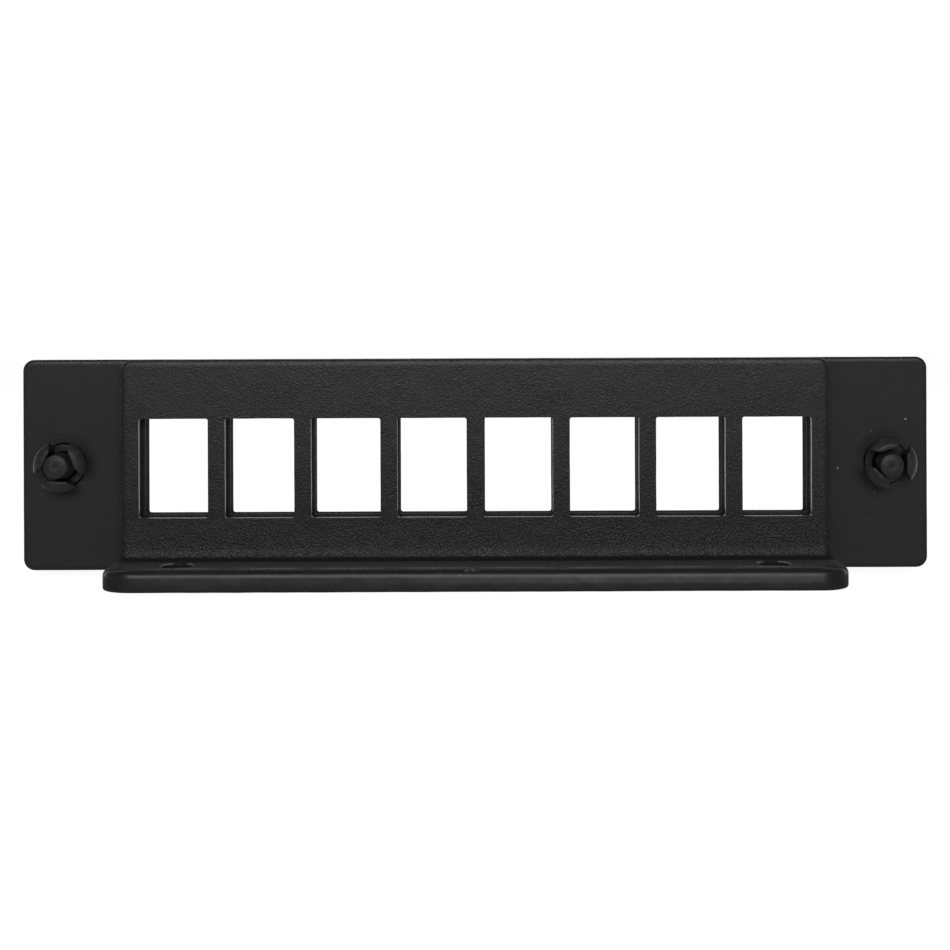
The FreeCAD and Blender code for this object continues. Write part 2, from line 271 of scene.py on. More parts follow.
def edge_profile(thickness, near, far):
    """Inset and depth of each row round a cut edge, from the near face over the wall to the far one.

    near and far are each the inset and the depth of a rounding, which is a quarter of an ellipse.
    A short flat stretch supports the shading beyond each rounding.
    """
    support = 0.12 * MM
    quarter = np.linspace(0.0, math.pi / 2.0, 10)
    wall = np.linspace(near[1], thickness - far[1], 8)[1:-1]
    inset = [
        [near[0] + support],
        near[0] * (1.0 - np.sin(quarter)),
        np.zeros(len(wall)),
        far[0] * (1.0 - np.sin(quarter[::-1])),
        [far[0] + support],
    ]
    depth = [
        [0.0],
        near[1] * (1.0 - np.cos(quarter)),
        wall,
        thickness - far[1] * (1.0 - np.cos(quarter[::-1])),
        [thickness],
    ]
    return np.concatenate(inset), np.concatenate(depth)


class Window:
    """Rectangular opening with round corners."""

    def __init__(self, rectangle, radius, profile, dull_from, dull_to):
        self.rectangle, self.radius, self.profile = rectangle, radius, profile
        self.dull_from, self.dull_to = dull_from, dull_to

    def slots(self):
        """Material of each row: the second one in the depth that the coat reaches only thinly."""
        middle = (self.profile[1][1:] + self.profile[1][:-1]) / 2.0
        return np.where((middle > self.dull_from) & (middle < self.dull_to), 1, 0)

    def ring(self, border, across, up, corner_steps, inset):
        """The opening's outline at an inset: the same rectangle, grown."""
        radius = self.radius + inset
        return outline(grown(self.rectangle, inset), (radius, radius), across, up, corner_steps)

    def wall(self, border, across, up, corner_steps):
        """Rows of the opening's rim, and the depth of each."""
        inset, depth = self.profile
        rows = [self.ring(border, across, up, corner_steps, step) for step in inset]
        return np.array(rows), np.broadcast_to(depth[:, None], (len(depth), len(rows[0])))


class RoundHole:
    """Round opening, plain or with a thread cut into its wall."""

    def __init__(self, centre, radius, profile, thread=None):
        self.centre, self.radius, self.profile, self.thread = np.array(centre), radius, profile, thread

    def slots(self):
        """Material of each row: the third one all the way down a thread, else the first one."""
        return np.full(len(self.profile[1]) - 1, 2 if self.thread else 0)

    def ring(self, border, across, up, corner_steps, inset):
        """The hole's outline at an inset: a larger circle, with its points towards the border's."""
        towards = border - self.centre
        towards = towards / np.linalg.norm(towards, axis=1, keepdims=True)
        return self.centre + towards * (self.radius + inset)

    def wall(self, border, across, up, corner_steps):
        """Rows of the hole's rim. A thread moves a point out by a triangle wave of height and turn."""
        inset, depth = self.profile
        towards = border - self.centre
        turn = np.arctan2(towards[:, 1], towards[:, 0])
        towards = towards / np.linalg.norm(towards, axis=1, keepdims=True)
        reach = np.broadcast_to(inset[:, None], (len(inset), len(turn))).copy()
        if self.thread:
            pitch, cut, start, end = self.thread
            phase = depth[:, None] / pitch - turn[None] / (2.0 * math.pi)
            groove = 1.0 - np.abs(2.0 * (phase - np.floor(phase)) - 1.0)
            fade = np.clip(np.minimum(depth - start, end - depth) / (0.15 * pitch), 0.0, 1.0)
            reach += cut * groove * fade[:, None]
        rows = self.centre + towards[None] * (self.radius + reach)[..., None]
        return rows, np.broadcast_to(depth[:, None], reach.shape)


def sheet_patches(border, radii, columns, rows, openings, profiles, change, lay):
    """Every patch of a cut sheet, near face, far face and walls, as grids of places in space.

    The sheet is a block of cells, and a cell with an opening is a ring from the opening's outline
    to the cell's own. One more ring goes from the block to the sheet's outline, and the walls are
    edge profiles carried round the outlines. The outline's own profile changes smoothly from the
    first to the second one across the given stretch. lay turns places and depths into space.
    """
    corner_steps = 8
    coat = None
    spans = [np.linspace(0.0, 1.0, steps + 1) for low, high, steps in columns]
    rises = [np.linspace(0.0, 1.0, steps + 1) for low, high, steps in rows]
    block = (columns[0][0], columns[-1][1], rows[0][0], rows[-1][1])

    def whole(cells, fractions, low, high):
        places = [start + (end - start) * part for (start, end, _), part in zip(cells, fractions)]
        joined = np.concatenate([places[0]] + [place[1:] for place in places[1:]])
        return (joined - low) / (high - low)

    across = whole(columns, spans, block[0], block[1])
    up = whole(rows, rises, block[2], block[3])
    edge = outline(border, radii, across, up, corner_steps)
    blend = smooth_step(edge[:, 1], *change)
    outer_rows, outer_depth = 0.0, 0.0
    for (inset, depth), share in zip(profiles, (1.0 - blend, blend)):
        rings = [
            outline(grown(border, -step), np.array(radii) - step, across, up, corner_steps)
            for step in inset
        ]
        outer_rows = outer_rows + np.array(rings) * share[None, :, None]
        outer_depth = outer_depth + depth[:, None] * share[None]
    patches = [(lay(outer_rows[..., 0], outer_rows[..., 1], outer_depth), True, coat)]
    block_outline = outline(block, (0.0, 0.0), across, up, corner_steps)
    for face in (0, -1):
        ring = between(block_outline, outer_rows[face], 3)
        level = np.broadcast_to(outer_depth[face], ring.shape[:2])
        patches.append((lay(ring[..., 0], ring[..., 1], level), True, coat))
    for column, (a_low, a_high, _) in enumerate(columns):
        for row, (s_low, s_high, _) in enumerate(rows):
            span, rise = spans[column], rises[row]
            opening = openings.get((column, row))
            if opening is None:
                a, s = np.meshgrid(a_low + (a_high - a_low) * span, s_low + (s_high - s_low) * rise)
                for face in (0, -1):
                    patches.append((lay(a, s, np.full(a.shape, depth[face])), False, coat))
                continue
            cell = outline((a_low, a_high, s_low, s_high), (0.0, 0.0), span, rise, corner_steps)
            wall, wall_depth = opening.wall(cell, span, rise, corner_steps)
            patches.append((lay(wall[..., 0], wall[..., 1], wall_depth), True, opening.slots()))
            for face in (0, -1):
                start = opening.ring(cell, span, rise, corner_steps, opening.profile[0][face])
                ring = between(start, cell, 7)
                level = np.full(ring.shape[:2], depth[face])
                patches.append((lay(ring[..., 0], ring[..., 1], level), True, coat))
    return patches


def mesh_piece(name, patches):
    """One closed object from patches of places, whose shared edges are merged.

    A patch is its grid, whether its rows are closed, and each row's material, or None for the first.
    """
    places, faces, slots, start = [], [], [], 0
    for grid, closed, row_slots in patches:
        rows, columns = grid.shape[:2]
        if row_slots is None:
            row_slots = np.zeros(rows - 1)
        index = start + np.arange(rows * columns).reshape(rows, columns)
        following = np.roll(index, -1, axis=1)
        if not closed:
            index, following = index[:, :-1], index[:, 1:]
        quads = np.stack([index[:-1], following[:-1], following[1:], index[1:]], axis=-1)
        places.append(grid.reshape(-1, 3))
        faces.append(quads.reshape(-1, 4))
        slots.append(np.repeat(row_slots, quads.shape[1]))
        start += rows * columns
    mesh = bpy.data.meshes.new(name)
    mesh.from_pydata(np.concatenate(places).tolist(), [], np.concatenate(faces).tolist())
    mesh.polygons.foreach_set("material_index", np.concatenate(slots).astype(np.int32))
    working = bmesh.new()
    working.from_mesh(mesh)
    bmesh.ops.remove_doubles(working, verts=working.verts, dist=MERGE_DISTANCE)
    bmesh.ops.dissolve_degenerate(working, edges=working.edges, dist=MERGE_DISTANCE / 10.0)
    bmesh.ops.recalc_face_normals(working, faces=working.faces)
    working.to_mesh(mesh)
    working.free()
    mesh.shade_smooth()
    piece = bpy.data.objects.new(name, mesh)
    bpy.context.scene.collection.objects.link(piece)
    return piece


def waves(places, size, seed):
    """Smooth uneven value between -1 and 1: the sum of plane waves in fixed random directions."""
    chance = np.random.default_rng(seed)
    direction = chance.normal(size=(20, 3))
    direction /= np.linalg.norm(direction, axis=1, keepdims=True)
    pace = direction * (2.0 * math.pi / size) * chance.uniform(0.6, 1.5, (20, 1))
    shift = chance.uniform(0.0, 2.0 * math.pi, 20)
    return np.clip(np.sin(places @ pace.T + shift).sum(axis=1) / 6.0, -1.0, 1.0)


def settle(piece, depth, size, seed):
    """Lowers the surface along its normals by an uneven amount, from nothing to the depth."""
    mesh = piece.data
    places = np.empty(len(mesh.vertices) * 3)
    normals = np.empty(len(mesh.vertices) * 3)
    mesh.vertices.foreach_get("co", places)
    mesh.vertex_normals.foreach_get("vector", normals)
    places, normals = places.reshape(-1, 3), normals.reshape(-1, 3)
    level = 0.5 + 0.35 * waves(places, size, seed) + 0.15 * waves(places, size / 3.0, seed + 1)
    places -= normals * (depth * level)[:, None]
    mesh.vertices.foreach_set("co", places.ravel())
    mesh.update()


def finish_piece(piece, body, slot, materials, *nodes):
    """Gives the piece its materials and body, and lets it stand for its CAD nodes. The slot is not used.
    """
    for material in materials:
        piece.data.materials.append(material)
    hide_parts(*nodes)
    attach(piece, body)


# The two sheets


def window_centres():
    """Middle of each adapter window, from the openings that the record states."""
    boxes = [opening["box_m"] for opening in RECORD["physics"]["openings"]]
    return [((low[0] + high[0]) / 2.0, (low[2] + high[2]) / 2.0) for low, high in boxes]


def window_cells(sizes, steps):
    """One column of the sheet for each window."""
    half = sizes.window_pitch / 2.0
    return [(x - half, x + half, steps) for x, _ in window_centres()]


def window_rectangle(sizes, x, z, side_relief, sill_relief):
    """A window's rectangle, larger at its sides and its sill by the reliefs."""
    half_width = sizes.window_width / 2.0 + side_relief
    half_height = sizes.window_height / 2.0
    return x - half_width, x + half_width, z - half_height - sill_relief, z + half_height


def make_ear_plate(sizes, materials):
    """Flat sheet with eight windows and two fastener holes: y is the depth and z the height."""
    low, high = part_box("ear_plate")
    thickness = high.y - low.y
    margin = sizes.ear_corner
    cells = window_cells(sizes, 14)
    columns = [(low.x + margin, cells[0][0], 18)] + cells + [(cells[-1][1], high.x - margin, 18)]
    rows = [(low.z + margin, high.z - margin, 30)]
    sharp = 0.25 * MM
    rim = edge_profile(thickness, (sharp, sharp), (sizes.rim_rounding, sizes.rim_rounding))
    openings = {
        (index + 1, 0): Window(
            window_rectangle(sizes, x + sizes.ear_window_shift, z, 0.0, 0.0),
            sizes.window_corner,
            rim,
            sharp,
            thickness - sizes.rim_rounding,
        )
        for index, (x, z) in enumerate(window_centres())
    }
    hole_radius = sizes.fastener_hole
    for column, side in ((0, "left"), (len(columns) - 1, "right")):
        x, _, z = MOUNTS[side + "_fastener"]["pos_m"]
        openings[(column, 0)] = RoundHole((x, z), hole_radius, rim)
    profile = edge_profile(thickness, (sizes.ear_roll, sizes.ear_roll / 2.0), (sharp, sharp))
    patches = sheet_patches(
        (low.x, high.x, low.z, high.z),
        (sizes.ear_corner, sizes.ear_corner),
        columns,
        rows,
        openings,
        (profile, profile),
        (low.z, high.z),
        lambda a, s, depth: np.stack([a, low.y + depth, s], axis=-1),
    )
    piece = mesh_piece("coated_ear_plate", patches)
    settle(piece, sizes.unevenness * 0.6, 7.0 * MM, 11)
    finish_piece(piece, PLATE_BODY, SHEET_SLOT, materials, "ear_plate")


def bend_layout(sizes):
    """Places of the bend along the unrolled bracket: where the upright ends, where the flange
    begins and where the flange ends. The bend's length is measured half way through the sheet."""
    low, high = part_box("flange_bracket")
    upright_end = low.z + sizes.bend_radius + sizes.bracket_thickness
    bend_length = math.pi / 2.0 * (sizes.bend_radius + sizes.bracket_thickness / 2.0)
    flange_start = upright_end - bend_length
    straight = -low.y - sizes.bend_radius - sizes.bracket_thickness
    return upright_end, flange_start, flange_start - straight


def lay_bracket(sizes, half_width):
    """Function that bends the unrolled bracket: straight down, round a quarter circle, straight back.

    Round the bend the inner face rises by the flange's swell, and once more by a lip along the
    rim, and it sinks at the bend's middle, by a power of the sine of twice the angle, so that the
    bend is tighter. The front edge leans back evenly, and its upper half bows back as well, more
    at the right, by a fall with depth that is nearly straight.
    Below the shoulder both ends move out by the overhang, by one smooth step along the sheet
    times another one down the bend.
    """
    upright_end, flange_start, flange_end = bend_layout(sizes)
    thickness = sizes.bracket_thickness
    axis_y = -thickness - sizes.bend_radius
    ends = half_width - 6.1 * MM, half_width - 4.0 * MM
    shoulder = sizes.shoulder_drop - 0.1 * MM, sizes.shoulder_drop + 0.65 * MM

    def lay(a, s, depth):
        turn = np.clip((upright_end - s) / (upright_end - flange_start), 0.0, 1.0)
        angle = turn * math.pi / 2.0
        lip_start = flange_end + sizes.flange_roll + sizes.flange_lip_width
        lip = 1.0 - smooth_step(s, flange_end + sizes.flange_roll, lip_start)
        hollow = sizes.bend_hollow * np.maximum(np.sin(2.0 * angle), 0.0) ** 1.5
        raised = (sizes.flange_swell * turn + sizes.flange_lip * lip - hollow) * (1.0 - depth / thickness)
        radius = sizes.bend_radius + depth - raised
        beyond_upright = np.maximum(s - upright_end, 0.0)
        front = 1.0 - smooth_step(s, flange_end, flange_end + 2.5 * MM)
        bow = sizes.flange_bow * (0.45 + 0.55 * smooth_step(a, -26.0 * MM, 14.0 * MM))
        high = np.clip(1.0 - depth / (0.66 * thickness), 0.0, 1.0)
        back = sizes.flange_lean * (1.0 - depth / thickness) + bow * high**1.1
        beyond_bend = np.maximum(flange_start - s, 0.0) - front * back
        y = axis_y + radius * np.cos(angle) - beyond_bend
        z = upright_end - radius * np.sin(angle) + beyond_upright
        spread = smooth_step(np.abs(a), *ends) * smooth_step(upright_end - z, *shoulder)
        return np.stack([a + np.sign(a) * sizes.flange_overhang * spread, y, z], axis=-1)

    return lay


def tapped_hole(sizes, flange_start, x, y):
    """Threaded bore with a countersink at both faces. Its place is along the unrolled flange."""
    mount = MOUNTS["flange_holes"]
    bore = mount["dims"]["hole_r_mm"] * MM
    thickness = sizes.bracket_thickness
    sink = sizes.mouth_radius - bore
    rows = np.linspace(sink, thickness - sink, 34)
    edge = 0.1 * MM
    inset = np.concatenate([[sink + edge * 2, sink + edge, sink], np.zeros(34), [sink, sink + edge]])
    depth = np.concatenate([[0.0, 0.02 * MM, 0.06 * MM], rows, [thickness - edge, thickness]])
    axis_y = -thickness - sizes.bend_radius
    place = flange_start - (axis_y - y)
    thread = (sizes.thread_pitch, sizes.thread_depth, sink, thickness - sink)
    return RoundHole((x, place), bore, (inset, depth), thread)


def make_flange_bracket(sizes, materials):
    """Bent sheet with windows, a flange and two tapped holes, worked out flat and then bent."""
    low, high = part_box("flange_bracket")
    upright_end, flange_start, flange_end = bend_layout(sizes)
    cells = window_cells(sizes, 14)
    top = high.z - sizes.bracket_corner
    rows = [
        (flange_end + 2.2 * MM, flange_start, 12),
        (flange_start, upright_end, 30),
        (upright_end, top, 30),
    ]
    thickness = sizes.bracket_thickness
    rim = edge_profile(thickness, (0.07 * MM, 0.065 * MM), (0.03 * MM, 0.03 * MM))
    openings = {
        (index, 2): Window(
            window_rectangle(sizes, x * sizes.window_spread, z, sizes.side_relief, sizes.sill_relief),
            sizes.window_corner,
            rim,
            sizes.glossy_rim,
            thickness,
        )
        for index, (x, z) in enumerate(window_centres())
    }
    mount = MOUNTS["flange_holes"]
    for side, column in ((-1, 0), (1, len(cells) - 1)):
        x = mount["pos_m"][0] + side * mount["dims"]["spacing_x_mm"] * MM / 2.0
        openings[(column, 0)] = tapped_hole(sizes, flange_start, x, mount["pos_m"][1])
    far = (sizes.edge_rounding, sizes.edge_rounding)
    profiles = (
        edge_profile(thickness, (sizes.flange_roll, sizes.flange_roll / 1.16), far),
        edge_profile(thickness, (sizes.upright_roll, sizes.upright_drop), far),
    )
    half_width = high.x - sizes.flange_overhang
    patches = sheet_patches(
        (-half_width, half_width, flange_end, high.z),
        (sizes.flange_corner, sizes.bracket_corner),
        cells,
        rows,
        openings,
        profiles,
        (flange_start - 1.5 * MM, upright_end),
        lay_bracket(sizes, half_width),
    )
    piece = mesh_piece("coated_flange_bracket", patches)
    settle(piece, sizes.unevenness, 6.0 * MM, 23)
    finish_piece(piece, PLATE_BODY, SHEET_SLOT, materials, "flange_bracket")


# The push fasteners


def rounded_path(corners, steps=4):
    """Path through (radius, y, rounding) corners, each cut back and bridged by a parabola."""
    places = np.array([corner[:2] for corner in corners])
    path = [places[:1]]
    part = np.linspace(0.0, 1.0, steps + 1)[:, None]
    for index in range(1, len(corners) - 1):
        before, corner, after = places[index - 1 : index + 2]
        cut = corners[index][2]
        start = corner + (before - corner) * cut / np.linalg.norm(before - corner)
        end = corner + (after - corner) * cut / np.linalg.norm(after - corner)
        path.append(start * (1 - part) ** 2 + corner * 2 * part * (1 - part) + end * part**2)
    path.append(places[-1:])
    return np.concatenate(path)


def turned(path, centre, turns, reach=None):
    """Surface turned about a Y axis: each path row is a circle. reach(angle, y) scales its radius."""
    angle = np.linspace(0.0, 2.0 * math.pi, turns, endpoint=False)[None]
    radius, y = path[:, :1], path[:, 1:]
    if reach is not None:
        radius = radius * reach(angle, y)
    x = centre[0] + radius * np.cos(angle)
    z = centre[1] + radius * np.sin(angle)
    return np.stack([x, np.broadcast_to(y, x.shape), z], axis=-1)


def leg_patch(sizes, centre, direction):
    """One leg, as a pile of closed sections that narrows to its tip.

    Each section is a chord on the inside and an arc of the nose's circle on the outside, joined by
    the straight sides of the slots. The chord moves out and the arc's radius follows the neck, the
    flare and the crowned nose.
    """
    count = 12
    root = sizes.leg_root - 0.4 * MM
    flare = np.linspace(0.0, 1.0, 4)
    nose = np.sin(np.linspace(0.0, math.pi / 2.0, 14))
    tip = cad_tip_depth()
    depth = np.concatenate(
        [[root, sizes.grip - 0.05 * MM], sizes.grip + (sizes.leg_widest - sizes.grip) * flare[1:],
         sizes.leg_widest + (tip - sizes.leg_widest) * nose[1:]]
    )
    radius = np.concatenate(
        [[sizes.neck_radius] * 2, sizes.neck_radius + (sizes.leg_radius - sizes.neck_radius) * flare[1:],
         sizes.leg_radius + (sizes.leg_tip_radius - sizes.leg_radius) * nose[1:]
         + sizes.leg_crown * np.sin(math.pi * nose[1:])]
    )
    lean = (depth - sizes.leg_root) / (tip - sizes.leg_root)
    chord = sizes.bore_radius + (sizes.leg_tip_inner - sizes.bore_radius) * np.clip(lean, 0.0, 1.0)
    radius = np.maximum(radius, chord)
    apex = sizes.slot_width / 2.0 / math.sin(math.pi / 3.0)
    slope = math.tan(math.pi / 3.0)
    along_side = (-apex / 2.0) + np.sqrt(radius**2 - 0.75 * apex**2)
    side_angle = np.arctan2(along_side * slope / 2.0, apex + along_side / 2.0)
    arc_limit = np.minimum(side_angle, np.arccos(np.clip(chord / radius, -1.0, 1.0)))
    chord_limit = np.minimum((chord - apex) * slope, radius * np.sin(arc_limit))
    part = np.linspace(-1.0, 1.0, count)[None]
    arc_angle = arc_limit[:, None] * part
    arc = np.stack([radius[:, None] * np.cos(arc_angle), radius[:, None] * np.sin(arc_angle)], axis=-1)
    inner = np.stack(
        [np.broadcast_to(chord[:, None], arc_angle.shape), -chord_limit[:, None] * part], axis=-1
    )
    section = np.concatenate([arc, inner], axis=1)
    ends = [np.broadcast_to(end.mean(axis=0), (1, *end.shape)) for end in (section[0], section[-1])]
    section = np.concatenate([ends[0], section, ends[1]])
    depth = np.concatenate([depth[:1], depth, depth[-1:]])
    turn = math.radians(direction)
    x = centre[0] + section[..., 0] * math.cos(turn) - section[..., 1] * math.sin(turn)
    z = centre[1] + section[..., 0] * math.sin(turn) + section[..., 1] * math.cos(turn)
    y = np.broadcast_to(-depth[:, None], x.shape)
    return np.stack([x, y, z], axis=-1)


def cad_tip_depth():
    """How far the legs reach behind the ear's rear face."""
    return -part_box("left_grommet")[0].y


def make_grommet(sizes, side, material):
    """Turned collar and neck ring with three spread legs."""
    node = side + "_grommet"
    low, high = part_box(node)
    x, _, z = MOUNTS[side + "_fastener"]["pos_m"]
    ear_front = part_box("ear_plate")[1].y
    collar_radius = (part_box("left_grommet")[1].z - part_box("left_grommet")[0].z) / 2.0
    small = 0.08 * MM
    ring = rounded_path(
        [
            (sizes.bore_radius, 1.0 * MM, 0.0),
            (sizes.bore_radius, -sizes.leg_root, small),
            (sizes.neck_radius, -sizes.leg_root, small),
            (sizes.neck_radius, ear_front, small),
            (collar_radius, ear_front, small),
            (collar_radius, high.y, sizes.collar_rounding),
            (sizes.lip_radius, high.y, small * 2),
            (sizes.lip_radius, sizes.lip_start, small),
            (sizes.bore_radius, sizes.lip_start, small),
            (sizes.bore_radius, 1.0 * MM, 0.0),
        ]
    )
    patches = [(turned(ring, (x, z), 96), True, None)]
    for direction in LEG_DIRECTIONS[side]:
        patches.append((leg_patch(sizes, (x, z), direction), True, None))
    piece = mesh_piece("moulded_" + node, patches)
    bevel = piece.modifiers.new("Soft edges", "BEVEL")
    bevel.width = 0.06 * MM
    bevel.segments = 2
    bevel.limit_method = "ANGLE"
    bevel.angle_limit = math.radians(40.0)
    bevel.harden_normals = False
    finish_piece(piece, PLATE_BODY, MOULDING_SLOT, [material], node)


def make_plunger(sizes, side, material):
    """Turned plunger: dimpled and crowned head, shank, and a ribbed knob with a finger waist.

    The head narrows towards its tip, which leans to one side by a smooth step along the axis.
    """
    node = side + "_plunger"
    low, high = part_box(node)
    x, _, z = MOUNTS[side + "_fastener"]["pos_m"]
    collar_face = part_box(side + "_grommet")[1].y
    knob_radius = (high.x - low.x) / 2.0
    head_radius = sizes.bore_radius - sizes.plunger_clearance
    waist_start, waist_end = collar_face + sizes.knob_rim, high.y - sizes.knob_rim
    head = rounded_path(
        [
            (0.0, low.y + 0.25 * MM, 0.0),
            (0.16 * MM, low.y + 0.22 * MM, 0.05 * MM),
            (0.3 * MM, low.y + 0.04 * MM, 0.05 * MM),
            (0.5 * MM, low.y, 0.05 * MM),
            (sizes.tip_face, low.y, 0.1 * MM),
            (sizes.tip_radius, low.y + sizes.tip_crown, 0.12 * MM),
            (head_radius, -sizes.shoulder, 0.1 * MM),
            (sizes.shank_radius, -sizes.shoulder, 0.1 * MM),
            (sizes.shank_radius, collar_face + 0.02 * MM, 0.1 * MM),
            (knob_radius, collar_face + 0.02 * MM, 0.25 * MM),
            (knob_radius, waist_start, 0.1 * MM),
        ]
    )
    waist = np.linspace(0.0, 1.0, 19)[1:-1]
    hollow = sizes.knob_waist * np.sin(math.pi * waist)
    waist_path = np.stack([knob_radius - hollow, waist_start + (waist_end - waist_start) * waist], axis=1)
    end = rounded_path(
        [
            (knob_radius, waist_end, 0.0),
            (knob_radius, high.y, 0.6 * MM),
            (2.6 * MM, high.y, 0.1 * MM),
            (2.4 * MM, high.y - 0.25 * MM, 0.12 * MM),
            (0.0, high.y - 0.25 * MM, 0.0),
        ]
    )
    path = np.concatenate([head, waist_path, end])

    def ribs(angle, y):
        """Radius scale: grooves of a rectified sine round the waist, fading towards the rims."""
        fade = np.clip(np.minimum(y - waist_start, waist_end - y) / (0.5 * MM), 0.0, 1.0)
        groove = 1.0 - np.abs(np.sin(sizes.rib_count / 2.0 * angle))
        return 1.0 - sizes.rib_depth / knob_radius * groove**3 * fade

    surface = turned(path, (x, z), sizes.rib_count * 12, ribs)
    lean = smooth_step(-surface[..., 1], sizes.shoulder, -low.y)[..., None]
    surface += lean * np.array([TIP_LEANS[side][0], 0.0, TIP_LEANS[side][1]]) * MM
    piece = mesh_piece("moulded_" + node, [(surface, True, None)])
    finish_piece(piece, side + "_plunger_body", MOULDING_SLOT, [material], node)


# Node groups that the materials share


def add_node(tree, kind, inputs=None, **settings):
    """A node with its settings and input values, where a socket as a value is linked."""
    made = tree.nodes.new(kind)
    for name, value in settings.items():
        setattr(made, name, value)
    for name, value in (inputs or {}).items():
        if isinstance(value, bpy.types.NodeSocket):
            tree.links.new(value, made.inputs[name])
        else:
            made.inputs[name].default_value = value
    return made


def math_node(tree, operation, *values, clamp=False):
    """Result of a Math node on numbers and sockets."""
    made = add_node(tree, "ShaderNodeMath", dict(enumerate(values)), operation=operation)
    made.use_clamp = clamp
    return made.outputs[0]


def vector_node(tree, operation, *values):
    """Result of a Vector Math node, its number where the operation gives one."""
    made = add_node(tree, "ShaderNodeVectorMath", dict(enumerate(values)), operation=operation)
    number_result = operation in {"LENGTH", "DOT_PRODUCT", "DISTANCE"}
    return made.outputs["Value" if number_result else "Vector"]


def new_group(name, inputs, output):
    """An empty shader node group with float, vector or colour inputs and one output."""
    tree = bpy.data.node_groups.new(name, "ShaderNodeTree")
    for socket_name, value in inputs.items():
        kind = "NodeSocketVector" if isinstance(value, tuple) else "NodeSocketFloat"
        made = tree.interface.new_socket(socket_name, in_out="INPUT", socket_type=kind)
        made.default_value = value
    tree.interface.new_socket(output, in_out="OUTPUT", socket_type="NodeSocketFloat")
    entry = tree.nodes.new("NodeGroupInput")
    leave = tree.nodes.new("NodeGroupOutput")
    return tree, entry.outputs, leave.inputs[0]


def noise(tree, places, scale, detail, roughness=0.5, distortion=0.0):
    """Noise value at the places."""
    made = add_node(tree, "ShaderNodeTexNoise", {"Vector": places, "Scale": scale, "Detail": detail})
    made.inputs["Roughness"].default_value = roughness
    made.inputs["Distortion"].default_value = distortion
    return made.outputs["Fac"]


def peel_group(name):
    """Orange peel: soft grains with finer ones on them, over slow swells. Heights in millimetres."""
    tree, value, result = new_group(
        name,
        {"Vector": (0.0, 0.0, 0.0), "Grain size": 0.0006, "Grain depth": 0.05, "Swell depth": 0.02},
        "Height",
    )
    grain_scale = math_node(tree, "DIVIDE", 1.0, value["Grain size"])
    swell_scale = math_node(tree, "MULTIPLY", grain_scale, 0.16)
    grain = noise(tree, value["Vector"], grain_scale, 2.0, 0.55, 0.6)
    swell = noise(tree, value["Vector"], swell_scale, 1.0)
    grains = math_node(tree, "MULTIPLY", grain, value["Grain depth"])
    swells = math_node(tree, "MULTIPLY", swell, value["Swell depth"])
    tree.links.new(math_node(tree, "ADD", grains, swells), result)
    return tree


def dust_group(name):
    """Specks: small round spots at the middle of a few cells of a cell pattern, chosen by chance."""
    tree, value, result = new_group(
        name, {"Vector": (0.0, 0.0, 0.0), "Spacing": 0.002, "Speck size": 0.05, "Share": 0.3}, "Mask"
    )
    scale = math_node(tree, "DIVIDE", 1.0, value["Spacing"])
    cells = add_node(tree, "ShaderNodeTexVoronoi", {"Vector": value["Vector"], "Scale": scale})
    chance = add_node(tree, "ShaderNodeSeparateColor", {"Color": cells.outputs["Color"]})
    size = math_node(tree, "MULTIPLY", value["Speck size"], chance.outputs["Green"])
    reach = math_node(tree, "DIVIDE", cells.outputs["Distance"], size)
    near = math_node(tree, "SUBTRACT", 1.0, reach, clamp=True)
    chosen = math_node(tree, "LESS_THAN", chance.outputs["Red"], value["Share"])
    spot = math_node(tree, "MULTIPLY", math_node(tree, "MULTIPLY", near, 3.0, clamp=True), chosen)
    tree.links.new(math_node(tree, "MULTIPLY", spot, chance.outputs["Blue"]), result)
    return tree


def scratch_group(name):
    """A scratch: near one straight line between two places, with soft sides."""
    ends = {"Start": (0.0, 0.0, 0.0), "End": (0.0, 0.0, 1.0)}
    tree, value, result = new_group(name, {"Vector": (0.0, 0.0, 0.0), **ends, "Width": 0.0001}, "Mask")
    line = vector_node(tree, "SUBTRACT", value["End"], value["Start"])
    offset = vector_node(tree, "SUBTRACT", value["Vector"], value["Start"])
    along = vector_node(tree, "DOT_PRODUCT", offset, line)
    reach = math_node(tree, "DIVIDE", along, vector_node(tree, "DOT_PRODUCT", line, line), clamp=True)
    foot = add_node(tree, "ShaderNodeVectorMath", {0: line, "Scale": reach}, operation="SCALE").outputs[0]
    distance = vector_node(tree, "LENGTH", vector_node(tree, "SUBTRACT", offset, foot))
    away = math_node(tree, "DIVIDE", distance, value["Width"])
    near = math_node(tree, "SUBTRACT", 1.0, away, clamp=True)
    tree.links.new(math_node(tree, "MULTIPLY", near, 2.5, clamp=True), result)
    return tree


def crinkle_group(name):
    """Crinkled coating on an arc round a fastener: a ring band, kept on the side of one direction."""
    tree, value, result = new_group(
        name,
        {
            "Vector": (0.0, 0.0, 0.0),
            "Centre": (0.0, 0.0, 0.0),
            "Towards": (1.0, 0.0, 0.0),
            "Radius": 0.005,
            "Width": 0.001,
            "Spread": 0.4,
        },
        "Mask",
    )
    offset = vector_node(tree, "SUBTRACT", value["Vector"], value["Centre"])
    offset = vector_node(tree, "MULTIPLY", offset, (1, 0, 1))
    distance = vector_node(tree, "LENGTH", offset)
    away = math_node(tree, "ABSOLUTE", math_node(tree, "SUBTRACT", distance, value["Radius"]))
    away = math_node(tree, "DIVIDE", away, value["Width"])
    band = math_node(tree, "SUBTRACT", 1.0, away, clamp=True)
    facing = vector_node(tree, "DOT_PRODUCT", vector_node(tree, "NORMALIZE", offset), value["Towards"])
    past = math_node(tree, "SUBTRACT", facing, value["Spread"])
    side = math_node(tree, "DIVIDE", past, 0.3, clamp=True)
    tree.links.new(math_node(tree, "MULTIPLY", band, side), result)
    return tree


GROUP_MAKERS = {
    "Coat relief": peel_group,
    "Dust specks": dust_group,
    "Fine scratch": scratch_group,
    "Crinkled arc": crinkle_group,
}


